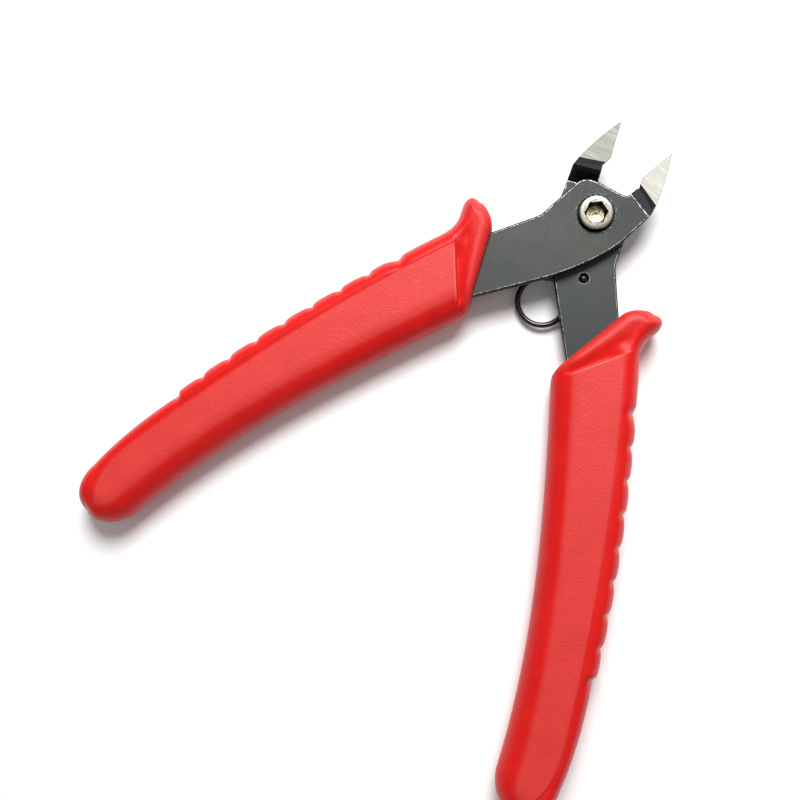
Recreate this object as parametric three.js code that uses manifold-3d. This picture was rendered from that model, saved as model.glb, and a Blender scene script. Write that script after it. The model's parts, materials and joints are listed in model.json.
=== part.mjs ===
// Flush cutter: two stamped steel plates that cross at a pivot screw, each with
// an angled jaw at one end and a moulded sleeve on the other, pushed open by a
// single-loop wire spring.
//
// Working frame while the parts are made: the pivot axis is Z, the tips point
// along +Y, and Z = 0 is the plane between the two plates. The bevelled side of
// the jaws faces +Z. Each arm is drawn as it stands when the jaws are closed,
// with its jaw on the side +X (upper arm) or -X (lower arm), and is then turned
// by half the opening angle. The lower arm is the mirror image of the upper one.

import * as THREE from 'three';
import * as BufferGeometryUtils from 'three/addons/utils/BufferGeometryUtils.js';
import Module from 'manifold-3d';

const wasm = await Module();
wasm.setup();

// ---- Driving dimensions, millimetres and degrees ----

const OPEN_ANGLE = 36.6; // between the cutting edges with the spring relaxed
const PLATE_THICKNESS = 2.5;
const FACE_GAP = 0.1; // film between faces that slide or bear on each other
const FIT_GAP = 0.3; // room around pins and tangs

const JAW_ANGLE = 21; // how far the jaws bend up from the plates
const BEND_Y = 7.35; // bend line on the face of the upper plate
const EDGE_ROOT_Y = 11.15; // rear end of the cutting edge
const TIP_Y = 17.55; // front end of the cutting edge
const NECK_HALF_GAP = 1.15; // from the centre line to the neck's inner side
const JAW_WIDTH = 5.9; // at the shoulder, across the bevel
const SHOULDER_Y = 9.35; // outer end of the shoulder
const EDGE_LAND = 0.05; // flat left along the cutting edge
const RISER_FOOT_Y = 5.6; // where the lower plate starts to climb
const RISER_HEAD_Y = 8.05; // where it meets the slope of the jaw
const RISER_BACK_FOOT_Y = 6.3; // the same climb on the underside
const RISER_BACK_HEAD_Y = 9.6;
const SWEEP_RADIUS = 7.17; // clears the corner of the plate that turns past

const SHANK_RADIUS = 2.5;
const HEAD_RADIUS = 3.2;
const HEAD_HEIGHT = 1.25;
const HEAD_CHAMFER = 0.3;
const SOCKET_ACROSS_FLATS = 3.5;
const SOCKET_DEPTH = 1.7;
const WASHER_RADIUS = 4.7;
const WASHER_THICKNESS = 0.4;
const NUT_ACROSS_FLATS = 8;
const NUT_THICKNESS = 1.9;

const GRIP_THICKNESS = 10.6;
const END_ROUND_Y = -105.7; // where the sleeve's end starts to round off
const END_ROUND_LENGTH = 7.6;
const TANG_END_Y = -88;
const SCALLOP_COUNT = 8;
const SCALLOP_DEPTH = 0.7;
const SCALLOP_STEPS = 4;
const END_STEPS = 5;
const INNER_ROUND = 6; // width over which the inner side rounds off
const OUTER_ROUND = 3;
const LIP_FRONT = 0.6; // height of the front face, as a share of the sleeve's
const LIP_CREST = 2.4; // lip's highest line, behind the front edge
const PANEL_START = 7.2; // front of the flat panel, behind the front edge
const HOLLOW_DEPTH = 0.22; // share of the half height
const INNER_LAG = 1.25; // keeps the front sections parallel to the front edge
const POCKET_GAP = 0.3; // room around the tang inside its sleeve
const PIVOT_Y = 43.02; // pivot in front of the origin

const WIRE_DIAMETER = 1.1;
const LOOP_RADIUS = 4.65; // to the middle of the wire
const LOOP_CENTRE = new THREE.Vector2(0.5, -18.2);
const LOOP_PITCH = 1.25;
const LOWER_HOOK = new THREE.Vector2(1.2, -11.9); // in the closed arm's place
const UPPER_HOOK = new THREE.Vector2(-4.9, -20.9);
const UPPER_HOOK_DEPTH = 1.5;
const LOOP_STEPS = 24;

// ---- Derived dimensions ----

const HALF_OPEN = THREE.MathUtils.degToRad(OPEN_ANGLE / 2);
const JAW_TILT = THREE.MathUtils.degToRad(JAW_ANGLE);
const SLOPE = Math.tan(JAW_TILT);
const FACE_Z = FACE_GAP / 2; // plate face next to the other plate
const BACK_Z = FACE_Z + PLATE_THICKNESS; // plate face away from the other plate
const BEND_FLUSH_Y = BEND_Y + PLATE_THICKNESS * Math.tan(JAW_TILT / 2);
const BEVEL_ANGLE = Math.atan((PLATE_THICKNESS - EDGE_LAND) / JAW_WIDTH);
const PROFILE_END_Y = 22; // beyond the tips
const REACH = 130; // longer than either arm
const HALF_GRIP = GRIP_THICKNESS / 2;

// Height of the jaws' flat cutting side, and of their top face, at a given y.
function flushZ(y) {
  return FACE_Z + SLOPE * (y - BEND_FLUSH_Y);
}

function jawTopZ(y) {
  return BACK_Z + SLOPE * (y - BEND_Y);
}

// ---- Solids ----

// Turns a closed three.js geometry, placed by a matrix, into a solid.
function solid(geometry, matrix = new THREE.Matrix4()) {
  const bare = geometry.clone().applyMatrix4(matrix);
  bare.deleteAttribute('normal');
  bare.deleteAttribute('uv');
  const merged = BufferGeometryUtils.mergeVertices(bare, 1e-4);
  const mesh = new wasm.Mesh({
    numProp: 3,
    vertProperties: new Float32Array(merged.attributes.position.array),
    triVerts: new Uint32Array(merged.index.array),
  });
  return new wasm.Manifold(mesh);
}

function geometryOf(body) {
  const mesh = body.getMesh();
  const geometry = new THREE.BufferGeometry();
  geometry.setAttribute('position', new THREE.BufferAttribute(mesh.vertProperties, 3));
  geometry.setIndex(new THREE.BufferAttribute(mesh.triVerts, 1));
  geometry.computeVertexNormals();
  return geometry;
}

// An outline in X and Y, from height bottom to height top.
function plate(outline, bottom, top, curveSegments = 10) {
  const geometry = new THREE.ExtrudeGeometry(outline, {
    depth: top - bottom,
    bevelEnabled: false,
    curveSegments,
  });
  return solid(geometry, new THREE.Matrix4().makeTranslation(0, 0, bottom));
}

// A side view in Y and Z, stretched along X.
function sideProfile(points, halfWidth) {
  const shape = new THREE.Shape(points.map(([y, z]) => new THREE.Vector2(y, z)));
  const geometry = new THREE.ExtrudeGeometry(shape, {
    depth: 2 * halfWidth,
    bevelEnabled: false,
  });
  const axes = new THREE.Matrix4().makeBasis(
    new THREE.Vector3(0, 1, 0),
    new THREE.Vector3(0, 0, 1),
    new THREE.Vector3(1, 0, 0),
  );
  return solid(geometry, axes.setPosition(-halfWidth, 0, 0));
}

function cylinder(radius, bottom, top, x = 0, y = 0, sides = 40) {
  const geometry = new THREE.CylinderGeometry(radius, radius, top - bottom, sides);
  const matrix = new THREE.Matrix4()
    .makeTranslation(x, y, (bottom + top) / 2)
    .multiply(new THREE.Matrix4().makeRotationX(Math.PI / 2));
  return solid(geometry, matrix);
}

// A prism on six sides with flats across a given width.
function hexagon(acrossFlats, bottom, top) {
  return cylinder(acrossFlats / Math.sqrt(3), bottom, top, 0, 0, 6);
}

// A turned solid about Z, from a profile of [radius, z] points.
function turned(profile, sides = 48) {
  const points = profile.map(([radius, z]) => new THREE.Vector2(radius, z));
  const geometry = new THREE.LatheGeometry(points, sides);
  return solid(geometry, new THREE.Matrix4().makeRotationX(Math.PI / 2));
}

// ---- Blades ----

// Plan outline of one blade. side is +1 for the upper blade, whose jaw stands at
// +X and whose tang runs down at -X, and -1 for the lower blade.
function bladeOutline(side) {
  const outline = new THREE.Shape();
  const line = (x, y) => outline.lineTo(side * x, y);
  const curve = (x1, y1, x, y) => outline.quadraticCurveTo(side * x1, y1, side * x, y);
  const sweep = (x1, y1, x2, y2, x, y) =>
    outline.bezierCurveTo(side * x1, y1, side * x2, y2, side * x, y);

  outline.moveTo(0, TIP_Y);
  line(0, EDGE_ROOT_Y);
  line(NECK_HALF_GAP, EDGE_ROOT_Y - 1.6);
  line(NECK_HALF_GAP, 7.4);
  curve(NECK_HALF_GAP, 6.5, 0.4, 6.17);
  line(-4.4, 4.1);
  sweep(-6.2, 3.3, -7, 2.2, -6.9, 0.7);
  line(-6.4, -6.8);
  curve(-6.25, -8.1, -6.75, -9.4);
  line(-12.6, -26.4);
  sweep(-14.6, -38, -18.6, -62, -18.1, TANG_END_Y + 4);
  sweep(-18, TANG_END_Y - 1, -13.6, TANG_END_Y - 1, -13.3, TANG_END_Y + 4);
  sweep(-12.3, -62, -8.5, -44, -4.6, -33.5);
  line(4.15, -13.7);
  sweep(5.2, -10.8, 7.35, -4.6, 7.25, 0.8);
  line(6.6, 7.9);
  line(JAW_WIDTH, SHOULDER_Y);
  curve(3.4, 13.8, 0.12, TIP_Y);
  outline.closePath();
  return outline;
}

// The wedge ground off the top of a jaw in front of its shoulder. Its underside
// is the bevel, which starts at the cutting edge and rises outwards.
function bevelCut(side) {
  const start = (SHOULDER_Y - BEND_FLUSH_Y) / Math.cos(JAW_TILT);
  const region = new THREE.Shape();
  region.moveTo(-side * 2, start + 0.25);
  region.lineTo(side * NECK_HALF_GAP, start + 0.25);
  region.quadraticCurveTo(side * 3.8, start + 0.65, side * JAW_WIDTH, start);
  region.lineTo(side * 9, start - 0.55);
  region.lineTo(side * 9, start + 16);
  region.lineTo(-side * 2, start + 16);
  const geometry = new THREE.ExtrudeGeometry(region, {
    depth: 9,
    bevelEnabled: false,
    curveSegments: 8,
  });
  const place = new THREE.Matrix4()
    .makeTranslation(0, BEND_FLUSH_Y, FACE_Z)
    .multiply(new THREE.Matrix4().makeRotationX(JAW_TILT))
    .multiply(new THREE.Matrix4().makeTranslation(0, 0, EDGE_LAND))
    .multiply(new THREE.Matrix4().makeRotationY(-side * BEVEL_ANGLE));
  return solid(geometry, place);
}

function upperBlade() {
  const profile = sideProfile(
    [
      [-REACH, FACE_Z],
      [BEND_FLUSH_Y, FACE_Z],
      [PROFILE_END_Y, flushZ(PROFILE_END_Y)],
      [PROFILE_END_Y, jawTopZ(PROFILE_END_Y)],
      [BEND_Y, BACK_Z],
      [-REACH, BACK_Z],
    ],
    40,
  );
  const hook = cylinder(
    WIRE_DIAMETER / 2 + FIT_GAP,
    -1,
    FACE_Z + UPPER_HOOK_DEPTH,
    UPPER_HOOK.x,
    UPPER_HOOK.y,
    16,
  );
  return plate(bladeOutline(1), -1, 12)
    .intersect(profile)
    .subtract(bevelCut(1))
    .subtract(cylinder(SHANK_RADIUS + FIT_GAP, -5, 5))
    .subtract(hook);
}

// The lower blade climbs past the upper plate so that both jaws share one plane.
function lowerBlade() {
  const profile = sideProfile(
    [
      [-REACH, -BACK_Z],
      [RISER_BACK_FOOT_Y, -BACK_Z],
      [RISER_BACK_HEAD_Y, flushZ(RISER_BACK_HEAD_Y)],
      [PROFILE_END_Y, flushZ(PROFILE_END_Y)],
      [PROFILE_END_Y, jawTopZ(PROFILE_END_Y)],
      [RISER_HEAD_Y, jawTopZ(RISER_HEAD_Y)],
      [RISER_FOOT_Y, -FACE_Z],
      [-REACH, -FACE_Z],
    ],
    40,
  );
  const hook = cylinder(
    WIRE_DIAMETER / 2 + FIT_GAP,
    -5,
    5,
    LOWER_HOOK.x,
    LOWER_HOOK.y,
    16,
  );
  return plate(bladeOutline(-1), -4, 12)
    .intersect(profile)
    .subtract(cylinder(SWEEP_RADIUS, -FACE_Z, 12, 0, 0, 72))
    .subtract(bevelCut(-1))
    .subtract(cylinder(SHANK_RADIUS + FIT_GAP, -5, 5))
    .subtract(hook);
}

// ---- Pivot ----

function pivotScrew() {
  const underHead = BACK_Z + FACE_GAP;
  const top = underHead + HEAD_HEIGHT;
  const bottom = -BACK_Z - WASHER_THICKNESS - NUT_THICKNESS - 2 * FACE_GAP;
  const body = turned([
    [0, bottom],
    [SHANK_RADIUS - 0.3, bottom],
    [SHANK_RADIUS, bottom + 0.3],
    [SHANK_RADIUS, underHead],
    [HEAD_RADIUS, underHead],
    [HEAD_RADIUS, top - HEAD_CHAMFER],
    [HEAD_RADIUS - HEAD_CHAMFER, top],
    [0, top],
  ]);
  const socketFloor = top - SOCKET_DEPTH;
  const drillPoint = turned(
    [
      [0, socketFloor - 0.6],
      [SOCKET_ACROSS_FLATS / 2 - 0.15, socketFloor + 0.01],
      [0, socketFloor + 0.2],
    ],
    24,
  );
  return body.subtract(hexagon(SOCKET_ACROSS_FLATS, socketFloor, top + 1)).subtract(drillPoint);
}

function pivotWasher() {
  const top = -BACK_Z - FACE_GAP;
  return cylinder(WASHER_RADIUS, top - WASHER_THICKNESS, top, 0, 0, 48)
    .subtract(cylinder(SHANK_RADIUS + FIT_GAP, top - 1, top + 1));
}

function pivotNut() {
  const top = -BACK_Z - WASHER_THICKNESS - 2 * FACE_GAP;
  const bottom = top - NUT_THICKNESS;
  const corner = NUT_ACROSS_FLATS / Math.sqrt(3);
  const crown = turned([
    [0, bottom],
    [corner - 0.55, bottom],
    [corner, bottom + 0.35],
    [corner, top],
    [0, top],
  ]);
  return hexagon(NUT_ACROSS_FLATS, bottom, top)
    .intersect(crown)
    .subtract(cylinder(SHANK_RADIUS + FIT_GAP, bottom - 1, top + 1));
}

// ---- Sleeves ----

// Plan of a sleeve as drawn on the upper arm. Its inner long side runs from the
// front corner to where the end rounds off.
const innerSide = new THREE.CubicBezierCurve(
  new THREE.Vector2(0.05, -31),
  new THREE.Vector2(-5.9, -57),
  new THREE.Vector2(-10.6, -81),
  new THREE.Vector2(-9.85, END_ROUND_Y),
);

// The front edge runs from that corner over a lobe to the top of the guard.
const guardTop = new THREE.Vector2(-15.6, -15.3);
const lobe = new THREE.Vector2(-9.2, -18);
const frontEdge = new THREE.CurvePath();
frontEdge.add(new THREE.LineCurve(innerSide.v0, lobe));
frontEdge.add(
  new THREE.CubicBezierCurve(
    lobe,
    new THREE.Vector2(-10.3, -15.9),
    new THREE.Vector2(-12.4, -15.3),
    guardTop,
  ),
);

// The outer long side is the nose and back of the guard, a swell, the line that
// joins the notches between the finger scallops, and a plain stretch.
const guardNose = new THREE.CubicBezierCurve(
  guardTop,
  new THREE.Vector2(-17.3, -15.25),
  new THREE.Vector2(-18.1, -16.6),
  new THREE.Vector2(-17.3, -18.2),
);
const guardBack = new THREE.CubicBezierCurve(
  guardNose.v3,
  new THREE.Vector2(-16.2, -20.1),
  new THREE.Vector2(-14.6, -21.2),
  new THREE.Vector2(-15.5, -25.2),
);
const swell = new THREE.QuadraticBezierCurve(
  guardBack.v3,
  new THREE.Vector2(-16.6, -30.2),
  new THREE.Vector2(-17.05, -32.9),
);
const notchLine = new THREE.CubicBezierCurve(
  new THREE.Vector2(-16.8, -34.5),
  new THREE.Vector2(-19.95, -51.2),
  new THREE.Vector2(-22.15, -67.9),
  new THREE.Vector2(-22.7, -84.6),
);
const plainBack = new THREE.CubicBezierCurve(
  notchLine.v3,
  new THREE.Vector2(-23.3, -90),
  new THREE.Vector2(-23.5, -99),
  new THREE.Vector2(-22.4, END_ROUND_Y),
);

// Between two notches the side bulges out, fuller towards the rear notch.
function scallopPoint(scallop, t) {
  const along = (scallop + t) / SCALLOP_COUNT;
  const tangent = notchLine.getTangentAt(along);
  const outward = new THREE.Vector2(tangent.y, -tangent.x);
  const bulge = SCALLOP_DEPTH * Math.pow(Math.sin(Math.PI * Math.pow(t, 1.25)), 0.75);
  return notchLine.getPointAt(along).addScaledVector(outward, bulge);
}

function outerSide() {
  const points = [
    ...guardNose.getPoints(4),
    ...guardBack.getPoints(7).slice(1),
    ...swell.getPoints(3).slice(1),
  ];
  for (let scallop = 0; scallop < SCALLOP_COUNT; scallop += 1) {
    for (let step = 0; step < SCALLOP_STEPS; step += 1) {
      points.push(scallopPoint(scallop, step / SCALLOP_STEPS));
    }
  }
  points.push(...plainBack.getPoints(6));
  return points;
}

// Roundness of the long sides: 0 at the parting line, 1 on the flat panel.
function roundness(distance, radius) {
  const t = Math.min(distance / radius, 1);
  return Math.sqrt(1 - (1 - t) * (1 - t));
}

// Height of the top face near the front, as a share of the full half height: a
// rounded lip, then a hollow, then the flat panel.
function lipShare(behindFront) {
  if (behindFront < LIP_CREST) {
    return LIP_FRONT + (1 - LIP_FRONT) * roundness(behindFront, LIP_CREST);
  }
  if (behindFront < PANEL_START) {
    const t = (behindFront - LIP_CREST) / (PANEL_START - LIP_CREST);
    return 1 - HOLLOW_DEPTH * Math.pow(Math.sin(Math.PI * t), 2);
  }
  return 1;
}

// One cross-section from the inner side to the outer side, as [point, height].
function section(inner, outer, bow, share) {
  const width = inner.distanceTo(outer);
  const innerRadius = Math.min(INNER_ROUND, width * 0.48);
  const outerRadius = Math.min(OUTER_ROUND, width * 0.4);
  const steps = [0, 0.08, 0.25, 0.55, 1];
  const stations = [
    ...steps.map((step) => step * innerRadius),
    ...steps.map((step) => width - step * outerRadius).reverse(),
  ];
  return stations.map((distance) => {
    const t = distance / width;
    const point = inner.clone().lerp(outer, t);
    const arch = frontEdge.getPointAt(t).sub(innerSide.v0.clone().lerp(guardTop, t));
    point.addScaledVector(arch, bow);
    const rounded = roundness(distance, innerRadius) * roundness(width - distance, outerRadius);
    return [point, HALF_GRIP * share * rounded];
  });
}

function gripSections() {
  const outer = outerSide();
  let travelled = 0;
  const lengths = outer.map((point, index) => {
    travelled += index === 0 ? 0 : point.distanceTo(outer[index - 1]);
    return travelled;
  });
  const sections = outer.map((point, index) => {
    const share = lengths[index] / travelled;
    const along = Math.pow(share, INNER_LAG);
    const inner = innerSide.getPointAt(along);
    const behind = (lengths[index] + along * innerSide.getLength()) / 2;
    const bow = Math.max(0, 1 - behind / (2 * PANEL_START));
    return section(inner, point, bow, lipShare(behind));
  });
  const middle = innerSide.v3.clone().lerp(plainBack.v3, 0.5);
  const halfWidth = innerSide.v3.x - middle.x;
  for (let step = 1; step <= END_STEPS; step += 1) {
    const angle = (0.5 * Math.PI * step) / (END_STEPS + 0.4);
    const reach = halfWidth * Math.cos(angle);
    const y = END_ROUND_Y - END_ROUND_LENGTH * Math.sin(angle);
    const inner = new THREE.Vector2(middle.x + reach, y);
    const outerEnd = new THREE.Vector2(middle.x - reach, y);
    sections.push(section(inner, outerEnd, 0, Math.sqrt(Math.cos(angle))));
  }
  return sections;
}

// Skins the sections: top and bottom faces share their points on the two long
// sides, and a strip closes each end.
function gripSkin() {
  const sections = gripSections();
  const columns = sections[0].length;
  const positions = [];
  for (const level of [1, -1]) {
    for (const row of sections) {
      for (const [point, height] of row) {
        positions.push(point.x, point.y, level * height);
      }
    }
  }
  const top = (row, column) => row * columns + column;
  const bottom = (row, column) => (sections.length + row) * columns + column;
  const index = [];
  const quad = (a, b, c, d) => index.push(a, b, c, a, c, d);
  for (let column = 0; column < columns - 1; column += 1) {
    for (let row = 0; row < sections.length - 1; row += 1) {
      quad(top(row, column), top(row, column + 1), top(row + 1, column + 1), top(row + 1, column));
      quad(bottom(row, column), bottom(row + 1, column), bottom(row + 1, column + 1),
        bottom(row, column + 1));
    }
    const last = sections.length - 1;
    quad(top(0, column), bottom(0, column), bottom(0, column + 1), top(0, column + 1));
    quad(top(last, column), top(last, column + 1), bottom(last, column + 1), bottom(last, column));
  }
  const geometry = new THREE.BufferGeometry();
  geometry.setAttribute('position', new THREE.Float32BufferAttribute(positions, 3));
  geometry.setIndex(index);
  return solid(geometry);
}

// Room for the tang: the blade's outline, grown by the pocket gap all round.
function tangPocket() {
  const tang = plate(bladeOutline(1), FACE_Z - POCKET_GAP, BACK_Z + POCKET_GAP, 6);
  const shifts = 8;
  let pocket = tang;
  for (let step = 0; step < shifts; step += 1) {
    const angle = (2 * Math.PI * step) / shifts;
    const shifted = tang.translate([
      POCKET_GAP * Math.cos(angle),
      POCKET_GAP * Math.sin(angle),
      0,
    ]);
    pocket = pocket.add(shifted);
  }
  return pocket;
}

function grip() {
  return gripSkin().subtract(tangPocket());
}

// ---- Return spring ----

// Where a tangent from a point outside meets the loop, on its left when seen
// from that point if turn is +1.
function tangentPoint(from, turn) {
  const offset = from.clone().sub(LOOP_CENTRE);
  const spread = Math.acos(LOOP_RADIUS / offset.length());
  return offset.angle() + turn * spread;
}

// A hook's place at rest, from its place in the closed arm.
function atRest(hook, turn) {
  return hook.clone().rotateAround(new THREE.Vector2(), turn * HALF_OPEN);
}

// The wire drops from the upper blade, runs to the loop, goes once round it
// clockwise while it sinks by one pitch, and runs on to the lower blade's hole.
function springPath() {
  const upperHook = atRest(UPPER_HOOK, -1);
  const lowerHook = atRest(LOWER_HOOK, 1);
  const firstAngle = tangentPoint(upperHook, -1);
  const lastAngle = tangentPoint(lowerHook, 1) - 2 * Math.PI;
  const startZ = -BACK_Z - WIRE_DIAMETER / 2 - FACE_GAP;
  const endZ = startZ - LOOP_PITCH;
  const onLoop = (share) => {
    const angle = firstAngle + (lastAngle - firstAngle) * share;
    return new THREE.Vector3(
      LOOP_CENTRE.x + LOOP_RADIUS * Math.cos(angle),
      LOOP_CENTRE.y + LOOP_RADIUS * Math.sin(angle),
      startZ + (endZ - startZ) * share,
    );
  };
  const start = onLoop(0);
  const end = onLoop(1);
  const upperBend = new THREE.Vector3(upperHook.x, upperHook.y, -WIRE_DIAMETER);
  const lowerBend = new THREE.Vector3(lowerHook.x, lowerHook.y, startZ);
  const points = [
    new THREE.Vector3(upperHook.x, upperHook.y, FACE_Z + UPPER_HOOK_DEPTH - FIT_GAP),
    upperBend.clone().setZ(0),
    upperBend.clone().lerp(start, 0.12),
    upperBend.clone().lerp(start, 0.55),
    upperBend.clone().lerp(start, 0.85),
  ];
  for (let step = 0; step <= LOOP_STEPS; step += 1) {
    points.push(onLoop(step / LOOP_STEPS));
  }
  points.push(
    end.clone().lerp(lowerBend, 0.3),
    end.clone().lerp(lowerBend, 0.6),
    end.clone().lerp(lowerBend, 0.88),
    lowerBend.clone().setZ(startZ + WIRE_DIAMETER * 0.9),
    lowerBend.clone().setZ(-FACE_Z - FIT_GAP),
  );
  return new THREE.CatmullRomCurve3(points, false, 'centripetal');
}

function returnSpring() {
  const section = new THREE.Shape();
  section.absarc(0, 0, WIRE_DIAMETER / 2, 0, 2 * Math.PI);
  const geometry = new THREE.ExtrudeGeometry(section, {
    steps: 76,
    curveSegments: 5,
    extrudePath: springPath(),
  });
  return solid(geometry);
}

// ---- Assembly ----

const steel = { color: 0x5a5e5c, roughness: 0.38, metalness: 0.9 };
const nickel = { color: 0xcfccc0, roughness: 0.25, metalness: 1 };
const springSteel = { color: 0x111214, roughness: 0.3, metalness: 0.9 };
const redVinyl = { color: 0xd8241f, roughness: 0.55, metalness: 0 };

function part(name, body, look) {
  const mesh = new THREE.Mesh(geometryOf(body), new THREE.MeshStandardMaterial(look));
  mesh.name = name;
  return mesh;
}

const sleeve = grip();

const upperArm = new THREE.Group();
upperArm.rotation.z = -HALF_OPEN;
upperArm.add(part('upper_blade', upperBlade(), steel));
upperArm.add(part('upper_grip', sleeve, redVinyl));

const lowerArm = new THREE.Group();
lowerArm.rotation.z = HALF_OPEN;
lowerArm.add(part('lower_blade', lowerBlade(), steel));
const lowerSleeve = part('lower_grip', sleeve, redVinyl);
lowerSleeve.rotation.y = Math.PI;
lowerArm.add(lowerSleeve);

const tool = new THREE.Group();
tool.add(upperArm);
tool.add(lowerArm);
tool.add(part('pivot_screw', pivotScrew(), nickel));
tool.add(part('pivot_washer', pivotWasher(), nickel));
tool.add(part('pivot_nut', pivotNut(), nickel));
tool.add(part('return_spring', returnSpring(), springSteel));

// The origin is under the middle of the tool, on the surface that it lies on.
tool.position.set(0, PIVOT_Y, HALF_GRIP);

const flushCutter = new THREE.Group();
flushCutter.add(tool);

export default flushCutter;
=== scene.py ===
import json
import math

import bmesh
import bpy
import numpy as np
from mathutils import Matrix, Vector
from mathutils.kdtree import KDTree


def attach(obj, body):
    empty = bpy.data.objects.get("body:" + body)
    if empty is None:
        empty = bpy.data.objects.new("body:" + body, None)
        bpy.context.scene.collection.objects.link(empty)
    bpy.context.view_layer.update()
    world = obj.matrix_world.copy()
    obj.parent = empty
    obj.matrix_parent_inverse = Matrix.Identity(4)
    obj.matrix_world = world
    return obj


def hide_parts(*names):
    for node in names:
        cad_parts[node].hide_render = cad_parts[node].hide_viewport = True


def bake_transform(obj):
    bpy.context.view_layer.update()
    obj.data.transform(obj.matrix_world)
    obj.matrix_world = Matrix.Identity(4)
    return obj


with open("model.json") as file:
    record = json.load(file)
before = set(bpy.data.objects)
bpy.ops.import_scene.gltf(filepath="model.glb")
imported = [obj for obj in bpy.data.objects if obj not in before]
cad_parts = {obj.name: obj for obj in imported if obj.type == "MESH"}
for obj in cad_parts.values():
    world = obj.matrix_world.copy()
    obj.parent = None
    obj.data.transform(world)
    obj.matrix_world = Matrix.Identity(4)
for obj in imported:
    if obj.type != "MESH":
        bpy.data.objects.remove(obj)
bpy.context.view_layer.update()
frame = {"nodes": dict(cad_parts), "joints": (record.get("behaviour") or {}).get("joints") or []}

# A flush cutter: two steel plates that cross at a screw, two red sleeves and a
# wire spring. The blades, the washer and the nut are made from their CAD solids.
# The rest is worked out in millimetres round the pivot, with Z = 0 between the
# plates: the screw and the spring for the tool as it lies open, the sleeve for the
# upper arm as it stands when the jaws are closed (tang on the side -X). The lower
# arm's sleeve is the upper one turned over.

MM = 0.001
PIVOT = Vector(frame["joints"][0]["pos_m"])
HALF_OPEN = math.radians(18.3)
JAW_TILT = math.radians(21)
JAW_WIDTH = 5.9  # at the shoulder, across the bevel
EDGE_LAND = 0.05  # flat left along the cutting edge
PLATE_THICKNESS = 2.5
FACE_GAP = 0.1  # film between faces that slide or bear on each other
FIT_GAP = 0.3
FACE_Z = FACE_GAP / 2  # plate face next to the other plate
BACK_Z = FACE_Z + PLATE_THICKNESS
WASHER_THICKNESS = 0.4
NUT_THICKNESS = 1.9
HALF_GRIP = 5.3
# the spring's holes, each in its arm's place when the jaws are closed
UPPER_HOOK = np.array([-4.9, -20.9])
LOWER_HOOK = np.array([1.2, -11.9])

TOOL = Matrix.Translation(PIVOT) @ Matrix.Scale(MM, 4)
UPPER = TOOL @ Matrix.Rotation(-HALF_OPEN, 4, "Z")
LOWER = TOOL @ Matrix.Rotation(HALF_OPEN, 4, "Z") @ Matrix.Rotation(math.pi, 4, "Y")


# ---- Meshes ----

def new_object(name, mesh, materials):
    for material in materials:
        mesh.materials.append(material)
    piece = bpy.data.objects.new(name, mesh)
    bpy.context.scene.collection.objects.link(piece)
    return piece


def mesh_from(name, points, faces, place):
    mesh = bpy.data.meshes.new(name)
    mesh.from_pydata([place @ Vector(p) for p in points], [], faces)
    mesh.validate()
    mesh.shade_smooth()
    return mesh


def smoothstep(low, high, values):
    t = np.clip((np.asarray(values) - low) / (high - low), 0, 1)
    return t * t * (3 - 2 * t)


# ---- Materials ----

class Nodes:
    """A material's node tree, with the few calls that the materials below share."""

    def __init__(self, name):
        self.material = bpy.data.materials.new(name)
        self.material.use_nodes = True
        self.tree = self.material.node_tree
        self.shader = self.tree.nodes["Principled BSDF"]
        self.place = self.add("ShaderNodeTexCoord").outputs["Object"]

    def add(self, kind, inputs=None, **settings):
        node = self.tree.nodes.new(kind)
        for key, value in settings.items():
            setattr(node, key, value)
        for key, value in (inputs or {}).items():
            self.feed(node.inputs[key], value)
        return node

    def feed(self, socket, value):
        if isinstance(value, bpy.types.NodeSocket):
            self.tree.links.new(value, socket)
        else:
            socket.default_value = value

    def stretched(self, scale, turn):
        """The object's own coordinates, turned and stretched for marks that run one way."""
        turned = self.add("ShaderNodeMapping", {"Vector": self.place, "Rotation": (0, 0, turn)})
        stretch = self.add("ShaderNodeMapping", {"Vector": turned.outputs[0], "Scale": scale})
        return stretch.outputs[0]

    def noise(self, scale, detail=3.0, rough=0.5, vector=None):
        inputs = {"Vector": vector or self.place, "Scale": scale,
                  "Detail": detail, "Roughness": rough}
        return self.add("ShaderNodeTexNoise", inputs).outputs[0]

    def cells(self, scale):
        inputs = {"Vector": self.place, "Scale": scale}
        return self.add("ShaderNodeTexVoronoi", inputs, feature="SMOOTH_F1").outputs["Distance"]

    def ramp(self, value, low, high, start=0.0, end=1.0):
        """Runs from start to end, clamped, while the value runs from low to high."""
        inputs = {"Value": value, "From Min": low, "From Max": high,
                  "To Min": start, "To Max": end}
        return self.add("ShaderNodeMapRange", inputs).outputs[0]

    def math(self, operation, a, b=0.0):
        node = self.add("ShaderNodeMath", operation=operation)
        self.feed(node.inputs[0], a)
        self.feed(node.inputs[1], b)
        return node.outputs[0]

    def mix(self, share, a, b):
        node = self.add("ShaderNodeMix", data_type="RGBA")
        self.feed(node.inputs["Factor"], share)
        self.feed(node.inputs[6], a)
        self.feed(node.inputs[7], b)
        return node.outputs[2]

    def attribute(self, name):
        return self.add("ShaderNodeAttribute", attribute_name=name).outputs["Fac"]

    def bump(self, heights, distance):
        """heights is a list of (height, share) pairs, added up."""
        total = 0.0
        for height, share in heights:
            total = self.math("ADD", total, self.math("MULTIPLY", height, share))
        node = self.add("ShaderNodeBump", {"Height": total, "Distance": distance, "Strength": 1.0})
        self.feed(self.shader.inputs["Normal"], node.outputs[0])

    def finish(self, **values):
        """Sets the shader's inputs: base_color stands for the input Base Color."""
        for key, value in values.items():
            label = key.replace("_", " ").title().replace("Ior", "IOR")
            self.feed(self.shader.inputs[label], value)
        return self.material


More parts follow.
